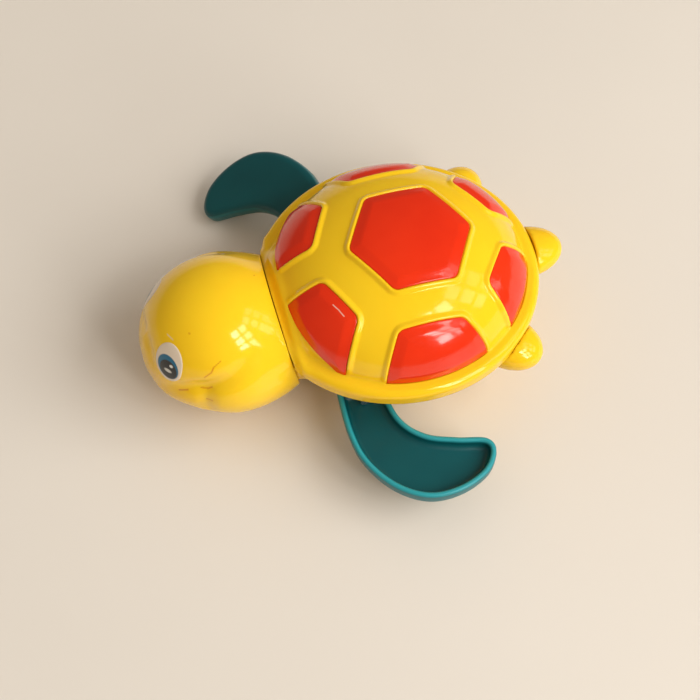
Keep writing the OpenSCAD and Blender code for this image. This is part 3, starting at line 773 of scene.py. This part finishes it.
def face_relief(points):
    """How far the face stands out of the plain head: creases go in, cheeks come out."""
    near = on_left_side(points)
    relief = np.zeros(points.shape[:-1])
    for path, depths, width in (SMILE, SMILE_CORNER, BROW):
        distance, depth = along_path(near, path, depths)
        relief -= depth * np.exp(-((distance / width) ** 2))
    for middle, size, height in (CHEEK, SNOUT):
        relief += height * np.exp(-(((near - middle) / size) ** 2).sum(axis=-1))
    return relief * smooth_step(seam_distance(points), *FACE_FADE)


def seam_rounding(share):
    """How far a ring of the head goes in at its share of the way to the seam."""
    along = max(0, (share - SEAM_ROUND_START) / (1 - SEAM_ROUND_START))
    return SEAM_ROUND * (1 - math.sqrt(max(0, 1 - along ** 2)))


def head_rings():
    """Rings round the neck's direction, from the nose back to the seam."""
    bearings = full_circle(HEAD_BEARINGS)
    side = np.array([0, 1.0, 0])
    up = np.cross(SEAM_NORMAL, side)
    spread = np.cos(bearings)[:, None] * side + np.sin(bearings)[:, None] * up

    def ring(turn):
        direction = np.cos(turn)[:, None] * SEAM_NORMAL + np.sin(turn)[:, None] * spread
        return surface_along(head_body, HEAD_MIDDLE, direction, *HEAD_RAY)

    low, high = (np.full(HEAD_BEARINGS, math.radians(turn)) for turn in HEAD_TURNS)
    last_turn = turning_place(lambda turn: seam_distance(ring(turn)) > -SEAM_LAP, low, high)
    rows = []
    for share in HEAD_ROWS:
        row = ring(last_turn * share)
        lift = face_relief(row) - seam_rounding(share)
        rows.append(row + slope_of(head_body, row) * lift[:, None])
    return rows


def make_head():
    """The head's rings and a flat end in the neck, with the front held at the solid head's reach."""
    rows = head_rings()
    edge = rows[-1]
    middle = edge.mean(axis=0)
    middle -= SEAM_NORMAL * (seam_distance(middle) + SEAM_LAP)
    for share in HEAD_END_SHARES:
        rows.append(middle + (edge - middle) * share)
    nose = surface_along(head_body, HEAD_MIDDLE, SEAM_NORMAL[None], *HEAD_RAY)[0]
    points = np.concatenate([np.stack(rows).reshape(-1, 3), [nose, middle]])
    points[:, 0] = np.minimum(points[:, 0], head_high[0])
    faces = closed_faces(len(rows), HEAD_BEARINGS, len(points) - 2, False)
    add_piece(
        "head", points, faces, yellow, nodes=["head_shell"],
        wear_and_sheen=marks(points, HEAD_MARKS, HEAD_MIDDLE), scratch=marks(points, HEAD_SCRATCHES, HEAD_MIDDLE)
    )


# Eyes, each painted in its own plane: Y across and Z up
EYE_PLACE = np.array([50.8, 9.3, 27.9])
EYE_SIZE = np.array([4.3, 5.7])
EYE_SHIFT = np.array([0.5, 0.8])
EYE_YAW = math.radians(30)
EYE_PITCH = math.radians(24)
EYE_ROLL = math.radians(12)
RIGHT_EYE_LOWER = math.radians(8)
EYE_PROUD = 0.15
EYE_EDGE = 0.4
EYE_EDGE_SUNK = 0.3
EYE_DEEP = 1.2
EYE_ROWS = 40
EYE_COLUMNS = 96
# The rays that find the head under an eye: how far behind it they start, and their reach
EYE_RAY_START = 12
EYE_RAY_REACH = 20
# Each oval: middle across and up, half width, half height, tilt in degrees; then its colour
OVAL_SOFTNESS = 0.12
OVALS = (
    ((0.55, -0.35, 3.15, 3.55, 28), (0.002, 0.115, 0.215)),
    ((0.75, -1.05, 2.6, 2.75, 28), (0.006, 0.006, 0.007)),
    ((0.75, -1.35, 1.1, 0.5, -4), (0.62, 0.60, 0.54)),
    ((1.68, 0.4, 0.5, 0.42, 0), (0.75, 0.73, 0.68))
)


def oval_mask(nodes, links, place, side, oval):
    """One inside an oval of the eye's plane, and zero outside it."""
    across, up, half_width, half_height, tilt = oval
    turned = nodes.new("ShaderNodeMapping")
    turned.vector_type = "TEXTURE"
    set_inputs(turned, Location=(0, side * across * MM, up * MM), Rotation=(side * math.radians(tilt), 0, 0))
    set_inputs(turned, Scale=(1, half_width * MM, half_height * MM))
    links.new(place, turned.inputs["Vector"])
    flat = nodes.new("ShaderNodeVectorMath")
    flat.operation = "MULTIPLY"
    flat.inputs[1].default_value = (0, 1, 1)
    links.new(turned.outputs["Vector"], flat.inputs[0])
    length = nodes.new("ShaderNodeVectorMath")
    length.operation = "LENGTH"
    links.new(flat.outputs[0], length.inputs[0])
    edge = OVAL_SOFTNESS / min(half_width, half_height)
    return mapped(nodes, links, length.outputs["Value"], 1, 0, 1 - edge, 1 + edge)


def eye_paint(name, side):
    """Cream with the iris, the pupil and two bright spots painted on it."""
    material = moulded_plastic(name, CREAM, CREAM_DEEP, 0.10, 0.03)
    nodes, links = material.node_tree.nodes, material.node_tree.links
    shader = nodes["Principled BSDF"]
    place = nodes.new("ShaderNodeTexCoord").outputs["Object"]
    base = shader.inputs["Base Color"].links[0].from_socket
    for oval, colour in OVALS:
        base = mixed(nodes, links, oval_mask(nodes, links, place, side, oval), base, colour)
    links.new(base, shader.inputs["Base Color"])
    return material


def eye_points(place, axes, side):
    """Rows of the oval on the head's curve, one row behind its edge, then the two middles."""
    around = full_circle(EYE_COLUMNS)
    shares = np.sin(np.linspace(0, math.pi / 2, EYE_ROWS + 1)[1:])
    flat = np.zeros((EYE_ROWS, EYE_COLUMNS, 3))
    flat[..., 1] = EYE_SIZE[0] * shares[:, None] * np.cos(around)
    flat[..., 2] = EYE_SIZE[1] * shares[:, None] * np.sin(around)
    flat = np.concatenate([flat.reshape(-1, 3), np.zeros((1, 3))])
    flat[:, 1:] += EYE_SHIFT * [side, 1]
    start = place + flat @ axes.T - EYE_RAY_START * axes[:, 0]
    direction = np.broadcast_to(axes[:, 0], start.shape)
    depth = (surface_along(head_body, start, direction, 0, EYE_RAY_REACH) - place) @ axes[:, 0]
    inset = (1 - np.append(np.repeat(shares, EYE_COLUMNS), 0)) * EYE_SIZE[0]
    front, back = flat.copy(), flat.copy()
    front[:, 0] = depth + EYE_PROUD - (EYE_PROUD + EYE_EDGE_SUNK) * rounded_drop(inset, EYE_EDGE)
    back[:, 0] = depth - EYE_DEEP
    return np.concatenate([front[:-1], back[-2 - EYE_COLUMNS:-1], front[-1:], back[-1:]])


def make_eye(node, side):
    """A painted oval that lies on the head's curve, with a rounded edge sunk into it."""
    head_turn = Matrix.Rotation(RIGHT_EYE_LOWER * (side < 0), 3, "X")
    turn = head_turn @ Euler((side * EYE_ROLL, -EYE_PITCH, side * EYE_YAW)).to_matrix()
    place = HEAD_MIDDLE + (EYE_PLACE * [1, side, 1] - HEAD_MIDDLE) @ np.array(head_turn).T
    points = eye_points(place, np.array(turn), side)
    faces = closed_faces(EYE_ROWS + 1, EYE_COLUMNS, len(points) - 2, True)
    add_piece(
        node + "_ball", points, faces, eye_paint(node + "_paint", side), nodes=[node],
        place=place, turn=turn
    )


# Flippers: outline as shares of the reach from the shaft and of the span from the root
FLIPPER_REACH = 28.2
FLIPPER_ROOT = 21.9
FLIPPER_SPAN = 35.1
FLIPPER_DEPTH = 5.0
FLIPPER_ROOT_DEPTH = 0.66 * FLIPPER_DEPTH
FLIPPER_WALL = 1.5
FLOOR_FILLET = 1.6
BACK_FILLET = 2.2
SHAFT = np.array([5.0, 0, 14.2])
RIGHT_DROOP = math.radians(29)
FLIPPER_SHARES = np.array([
    [-0.235, 0.00], [-0.245, 0.34], [-0.180, 0.60], [0.015, 0.84], [0.285, 0.98], [0.585, 0.99],
    [0.860, 0.905], [0.995, 0.76], [0.950, 0.645], [0.690, 0.580], [0.425, 0.490], [0.250, 0.315],
    [0.180, 0.00]
])
FLIPPER_STEPS = 12
ROOT_STEPS = 12
SMOOTHINGS = 3
# Rings of the dish's floor, of its lip and of its back: first and last turn in degrees, and their number
FLOOR_TURNS = (0, 90, 9)
LIP_TURNS = (0, 180, 17)
BACK_TURNS = (0, 90, 11)
# The lip painted paler as a painted highlight: how pale, where it begins and ends in its half turn, and the
# rings behind it that carry a fainter painted highlight
LIP_SHEEN = 0.75
LIP_SPAN = (0.15, math.pi - 0.1)
LIP_FALLOFF = 0.7
FADING_RINGS = 4
FADING_SHEEN = 0.2


def smooth_curve(points, steps):
    """A smooth curve through points, with a number of steps between each two."""
    last = len(points) - 1
    rows = []
    for number in range(last):
        a, b = points[max(number - 1, 0)], points[number]
        c, d = points[number + 1], points[min(number + 2, last)]
        for t in np.arange(steps) / steps:
            bend = (2 * a - 5 * b + 4 * c - d) * t**2 + (3 * b - a - 3 * c + d) * t**3
            rows.append((2 * b + (c - a) * t + bend) / 2)
    rows.append(points[last])
    return np.array(rows)


def side_normals(outline):
    """Directions inward from the outline, smoothed along it."""
    along = np.gradient(outline, axis=0)
    for _ in range(SMOOTHINGS):
        along[1:-1] = (along[2:] + 2 * along[1:-1] + along[:-2]) / 4
    along /= norm(along, axis=1, keepdims=True)
    return np.column_stack([along[:, 1], -along[:, 0]])


def flipper_ring(sides, normals, inset, level):
    """The two long sides moved in and joined at the root, at the heights that level gives along the span."""
    ring = sides + normals * inset
    ring[:, 1] = np.maximum(ring[:, 1], FLIPPER_ROOT + inset)
    root = np.linspace(ring[-1], ring[0], ROOT_STEPS + 2)[1:-1]
    ring = np.concatenate([ring, root])
    return np.column_stack([ring, level(ring[:, 1])])


def flipper_grid():
    """Rings of a flipper with its hollow side up: out over the floor, round the lip and in under the back."""
    outline = smooth_curve(FLIPPER_SHARES * [FLIPPER_REACH, FLIPPER_SPAN] + [0, FLIPPER_ROOT], FLIPPER_STEPS)
    normals = side_normals(outline)
    slope = (FLIPPER_DEPTH - FLIPPER_ROOT_DEPTH) / FLIPPER_SPAN

    def back(y):
        return -FLIPPER_ROOT_DEPTH - slope * (y - FLIPPER_ROOT)

    lip = FLIPPER_WALL / 2
    rings = []
    for turn in turns(*FLOOR_TURNS):
        inset = FLIPPER_WALL + FLOOR_FILLET * (1 - math.sin(turn))
        lift = FLIPPER_WALL + FLOOR_FILLET * (1 - math.cos(turn))
        rings.append(flipper_ring(outline, normals, inset, lambda y: back(y) + lift))
    for turn in turns(*LIP_TURNS):
        inset = lip + lip * math.cos(turn)
        rings.append(flipper_ring(outline, normals, inset, lambda y: 0 * y - lip + lip * math.sin(turn)))
    for turn in turns(*BACK_TURNS):
        inset = BACK_FILLET * (1 - math.cos(turn))
        lift = BACK_FILLET * (1 - math.sin(turn))
        rings.append(flipper_ring(outline, normals, inset, lambda y: back(y) + lift))
    return np.stack(rings)


def flipper_lip_sheen(rows, columns):
    """How pale each point is, as a painted highlight: the lip, and a few rings behind it."""
    lip_start = FLOOR_TURNS[2]
    lip_end = lip_start + LIP_TURNS[2]
    wear_and_sheen = np.zeros((rows, columns))
    around = np.linspace(*LIP_SPAN, LIP_TURNS[2])
    # Painted highlight along the lip, and a fainter painted highlight on the rings behind it
    wear_and_sheen[lip_start:lip_end] = LIP_SHEEN * np.sin(around)[:, None] ** LIP_FALLOFF
    wear_and_sheen[lip_end:lip_end + FADING_RINGS] = FADING_SHEEN
    return wear_and_sheen.ravel()


def make_flipper(node, turned_over):
    grid = flipper_grid()
    grid = grid * ([1, -1, -1] if turned_over else [-1, 1, 1])
    turn = RIGHT_DROOP if turned_over else 0
    x, z = grid[..., 0].copy(), grid[..., 2].copy()
    grid[..., 0] = x * math.cos(turn) + z * math.sin(turn)
    grid[..., 2] = z * math.cos(turn) - x * math.sin(turn)
    grid = grid + SHAFT
    rows, columns = grid.shape[:2]
    faces = grid_faces(rows, columns)
    faces.append(list(range(columns))[::-1])
    faces.append(list(range((rows - 1) * columns, rows * columns)))
    if turned_over:
        faces = turned_round(faces)
    # The flippers' lip is painted paler as a painted highlight
    add_piece(
        node + "_dish", grid, faces, teal, nodes=[node], body="flippers",
        wear_and_sheen=flipper_lip_sheen(rows, columns)
    )


# Hull: a round bottom with two feet, a tail, half the neck and a pocket at each end of the shaft
HULL_INSET = 2.4
BELLY_CUT = 3.5
WALL = 2.0
HULL_SIZE = np.array([RIM_HALF_LENGTH - HULL_INSET, RIM_HALF_WIDTH - HULL_INSET, SPLIT + BELLY_CUT])
HULL_MIDDLE = np.array([RIM_X, 0, SPLIT])
HULL_NECK_BLEND = 3.0
JOINT_GAP = 0.05
JOINT_EDGE = 0.3
BELLY_EDGE = 1.0
FOOT_BEARING = math.radians(135)
FOOT_MIDDLE = 32.0
FOOT_SIZE = np.array([10.2, 7.2, 5.6])
FOOT_HEIGHT = 20.4
TAIL_SIZE = np.array([10.6, 7.2, 5.0])
TAIL_MIDDLE = np.array([hull_low[0] + 12.3, 0, 22.9])
LIMB_BLEND = 1.6
ARCH_RADIUS = 8.4
ARCH_WALL = 20.8
ARCH_EDGE = 0.5
SCREW_PLACES = [(12.2, 13.3), (-30.0, 13.8)]
SCREW_HEAD_ROOM = 2.5
SCREW_HEAD_BASE = 11.0
BOSS_RADIUS = 3.9
# The hull's mesh: size of its cells, room round it, and how its points are pulled to the surface
HULL_CELL = 0.5
HULL_ROOM = 1
HULL_NECK_ROOM = 3
PULLS = 3
PULL_STEP = 0.05
CELL_CORNERS = ((0, 0), (0, 1), (1, 0), (1, 1))


def limbs(points):
    """The feet and the tail, kept clear of the shell's rim."""
    cos, sin = math.cos(FOOT_BEARING), math.sin(FOOT_BEARING)
    away = on_left_side(points) - [RIM_X + FOOT_MIDDLE * cos, FOOT_MIDDLE * sin, FOOT_HEIGHT]
    x, y, z = np.moveaxis(away, -1, 0)
    foot = ellipsoid(np.stack([x * cos + y * sin, y * cos - x * sin, z], axis=-1), 0, FOOT_SIZE)
    both = np.minimum(foot, ellipsoid(points, TAIL_MIDDLE, TAIL_SIZE))
    rim = np.hypot((points[..., 0] - RIM_X) / RIM_STRETCH, points[..., 1]) - RIM_HALF_WIDTH
    return np.maximum(both, -np.maximum(SPLIT - JOINT_GAP - points[..., 2], rim - JOINT_GAP))


def hull_body(points):
    """The hull's outside less its hollow, which leaves bosses for the screws."""
    x, y, z = np.moveaxis(points, -1, 0)
    side = np.abs(y)
    shaft = np.hypot(x - SHAFT[0], z - SHAFT[2])
    outer = smooth_union(ellipsoid(points, HULL_MIDDLE, HULL_SIZE), neck_distance(points), HULL_NECK_BLEND)
    outer = smooth_cut(outer, seam_distance(points), SEAM_EDGE)
    outer = smooth_cut(outer, z - SPLIT + JOINT_GAP, JOINT_EDGE)
    outer = smooth_union(outer, limbs(points), LIMB_BLEND)
    outer = smooth_cut(outer, -z, BELLY_EDGE)
    outer = smooth_cut(outer, -np.maximum(shaft - ARCH_RADIUS, ARCH_WALL - side), ARCH_EDGE)
    inner = np.minimum(ellipsoid(points, HULL_MIDDLE, HULL_SIZE - WALL), neck_distance(points, -WALL))
    inner = np.maximum(inner, seam_distance(points) + WALL)
    inner = np.maximum(inner, WALL - z)
    inner = np.maximum(inner, -np.maximum(shaft - ARCH_RADIUS - WALL, ARCH_WALL - WALL - side))
    for screw_x, screw_y in SCREW_PLACES:
        away = np.hypot(x - screw_x, side - screw_y)
        inner = np.maximum(inner, BOSS_RADIUS - away)
        outer = np.maximum(outer, -np.maximum(away - SCREW_HEAD_ROOM, z - SCREW_HEAD_BASE))
    return np.maximum(outer, -inner)


def edge_ends(axis):
    """Slices of a grid that take the first and the second end of its edges along an axis."""
    first, second = [slice(None)] * 3, [slice(None)] * 3
    first[axis], second[axis] = slice(None, -1), slice(1, None)
    return tuple(first), tuple(second)


def net_points(values, places, cell):
    """The mean of the crossings on each cell's edges, and which cells have any."""
    cells = np.array(values.shape) - 1
    total = np.zeros((*cells, 3))
    hits = np.zeros(tuple(cells))
    for axis in range(3):
        first, second = edge_ends(axis)
        a, b = values[first], values[second]
        cross = (a < 0) != (b < 0)
        share = np.where(cross, a / np.where(cross, a - b, 1), 0)
        spot = places[first] + share[..., None] * cell * np.eye(3)[axis]
        others = [other for other in range(3) if other != axis]
        for corner in CELL_CORNERS:
            part = [slice(None)] * 3
            for other, move in zip(others, corner):
                part[other] = slice(move, cells[other] + move)
            total += spot[tuple(part)] * cross[tuple(part)][..., None]
            hits += cross[tuple(part)]
    used = hits > 0
    return total[used] / hits[used][:, None], used


def net_faces(inside, number):
    """A quad round each edge of the grid that the surface crosses, between the cells that share the edge."""
    steps = np.eye(3, dtype=int)
    faces = []
    for axis in range(3):
        first, second = edge_ends(axis)
        b, c = (axis + 1) % 3, (axis + 2) % 3
        place = np.argwhere(inside[first] != inside[second])
        place = place[(place[:, b] > 0) & (place[:, c] > 0)]
        moves = (steps[b] + steps[c], steps[c], 0 * steps[b], steps[b])
        quad = np.stack([number[tuple((place - move).T)] for move in moves], axis=1)
        outward = inside[first][tuple(place.T)]
        quad[~outward] = quad[~outward][:, ::-1]
        faces += quad.tolist()
    return faces


def surface_net(distance, low, high, cell):
    """Points and quads on the surface where distance is nought, one point in each cell that it crosses."""
    counts = np.ceil((high - low) / cell).astype(int) + 1
    axes = [low[axis] + cell * np.arange(counts[axis]) for axis in range(3)]
    places = np.stack(np.meshgrid(*axes, indexing="ij"), axis=-1)
    values = distance(places)
    points, used = net_points(values, places, cell)
    number = np.full(used.shape, -1)
    number[used] = np.arange(used.sum())
    faces = net_faces(values < 0, number)
    for _ in range(PULLS):
        slope = slope_of(distance, points, PULL_STEP)
        points -= slope * np.clip(distance(points), -cell / 3, cell / 3)[:, None]
    return points, faces


def make_hull():
    low = np.array([hull_low[0], hull_low[1] - HULL_ROOM, 0]) - HULL_ROOM
    high = np.array([NECK_SEAM + HULL_NECK_ROOM, hull_high[1] + HULL_ROOM, hull_high[2]]) + HULL_ROOM
    points, faces = surface_net(hull_body, low, high, HULL_CELL)
    points[:, 2] = np.maximum(points[:, 2], 0)
    add_piece("hull", points, faces, yellow, nodes=["lower_hull"])


# Floor
FLOOR_REACH = 3.0
FLOOR_SCALE = 6
FLOOR_RANGE = (0.3, 0.75)
FLOOR_ROUGHNESS = 0.42
FLOOR_COLOUR = (0.76, 0.70, 0.63)
FLOOR_DEEP = (0.72, 0.66, 0.59)


def make_floor():
    material, nodes, links, shader, place = new_material("pale_floor")
    drift = mapped(nodes, links, noise(nodes, links, place, FLOOR_SCALE, 4), 0, 1, *FLOOR_RANGE)
    links.new(mixed(nodes, links, drift, FLOOR_COLOUR, FLOOR_DEEP), shader.inputs["Base Color"])
    set_inputs(shader, Roughness=FLOOR_ROUGHNESS)
    mesh = bpy.data.meshes.new("floor")
    corners = [(x * FLOOR_REACH, y * FLOOR_REACH, 0) for x, y in ((-1, -1), (1, -1), (1, 1), (-1, 1))]
    mesh.from_pydata(corners, [], [(0, 1, 2, 3)])
    mesh.materials.append(material)
    floor = new_object("floor", mesh)


# Camera
CAMERA_PLACE = np.array([57.0, 197.5, 384.9])
CAMERA_AIM = np.array([-0.1243, -0.4455, -0.8866])
PHOTO_SIDE = 700
FOCAL_PIXELS = 1603.6
SENSOR_WIDTH = 36
CLIP_START = 0.01


def make_camera():
    data = bpy.data.cameras.new("camera")
    data.sensor_width = SENSOR_WIDTH
    data.lens = FOCAL_PIXELS / PHOTO_SIDE * data.sensor_width
    data.clip_start = CLIP_START
    camera = new_object("camera", data)
    camera.location = CAMERA_PLACE * MM
    camera.rotation_euler = Vector(CAMERA_AIM).to_track_quat("-Z", "Y").to_euler()
    bpy.context.scene.camera = camera


# Lights, all aimed at the middle of the toy, in metres
ROOM_LIGHT = 0.46
ROOM_GLOSS = 0.12
ROOM_COLOUR = (1.0, 0.885, 0.75, 1)
LIGHT_AIM = Vector((0, 0, 0.02))
# Lamps: name, bearing, height, size and power
LAMPS = (("key", 156, 39, 1.0, 12.2), ("fill", -130, 60, 1.2, 0.8))
LAMP_COLOUR = (0.97, 1.0, 1.0)
LAMP_DISTANCE = 1.5
# Windows that show in the gloss: name, bearing, height and power of a pane
WINDOWS = (("near", 121, 38, 1.25), ("rear", 161, 40, 0.25))
WINDOW_COLOUR = (1.0, 0.98, 0.94)
WINDOW_DISTANCE = 1.1
PANE = 0.19
PANE_STEP = 0.25
PANE_COLUMNS = 2
PANE_ROWS = 3
# How much weaker the second column of panes is
PANE_DIMMING = 0.45


def area_light(name, place, toward, size, power, colour):
    data = bpy.data.lights.new(name, "AREA")
    data.shape = "RECTANGLE"
    data.size = size
    data.size_y = size
    data.energy = power
    data.color = colour
    lamp = new_object(name, data)
    lamp.location = place
    lamp.rotation_euler = (Vector(toward) - Vector(place)).to_track_quat("-Z", "Y").to_euler()
    return lamp


def bearing_place(bearing, height, distance):
    turn, rise = math.radians(bearing), math.radians(height)
    level = distance * math.cos(rise)
    return level * math.cos(turn), level * math.sin(turn), distance * math.sin(rise)


def make_room():
    """A warm room that is darker where it shows in the gloss."""
    world = bpy.data.worlds.new("soft_room")
    bpy.context.scene.world = world
    world.use_nodes = True
    nodes, links = world.node_tree.nodes, world.node_tree.links
    set_inputs(nodes["Background"], Color=ROOM_COLOUR)
    ray = nodes.new("ShaderNodeLightPath").outputs["Is Glossy Ray"]
    links.new(mapped(nodes, links, ray, ROOM_LIGHT, ROOM_GLOSS), nodes["Background"].inputs["Strength"])


def make_window(name, bearing, height, power):
    middle = Vector(bearing_place(bearing, height, WINDOW_DISTANCE))
    facing = (LIGHT_AIM - middle).to_track_quat("-Z", "Y")
    right, up = facing @ Vector((1, 0, 0)), facing @ Vector((0, 1, 0))
    for column in range(PANE_COLUMNS):
        for row in range(PANE_ROWS):
            place = middle + (right * (column - 0.5) + up * (row - 1)) * PANE_STEP
            shine = power * (1 - PANE_DIMMING * column)
            toward = place + LIGHT_AIM - middle
            area_light(f"{name}_pane_{column}_{row}", place, toward, PANE, shine, WINDOW_COLOUR)


def make_lights():
    make_room()
    for name, bearing, height, size, power in LAMPS:
        place = bearing_place(bearing, height, LAMP_DISTANCE)
        lamp = area_light(name, place, LIGHT_AIM, size, power, LAMP_COLOUR)
        lamp.visible_glossy = False
    for window in WINDOWS:
        make_window(*window)


# Materials of the frame's own solids
CARRIED = (
    (yellow, ("upper_shell", "lower_hull", "head_shell")),
    (red, tuple(PLATES)),
    (cream, ("left_eye", "right_eye")),
    (teal, ("left_flipper", "right_flipper")),
    (nylon, ("left_shaft_bush", "right_shaft_bush", "motor_case_left", "motor_case_right")),
    (nylon, ("middle_gear", "governor")),
    (brass, ("shaft_gear", "spring_barrel", "barrel_lid")),
    (steel, ("flipper_shaft", "mainspring", "barrel_arbor", "middle_arbor", "governor_arbor")),
    (steel, ("motor_screws", "case_screws")),
    (rubber, ("hull_gasket",))
)
for material, nodes in CARRIED:
    for node in nodes:
        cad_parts[node].data.materials.clear()
        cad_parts[node].data.materials.append(material)

make_shell()
make_plates()
make_head()
make_eye("left_eye", 1)
make_eye("right_eye", -1)
make_hull()
make_flipper("left_flipper", False)
make_flipper("right_flipper", True)
make_floor()
make_camera()
make_lights()
bpy.context.scene.view_settings.view_transform = "Standard"
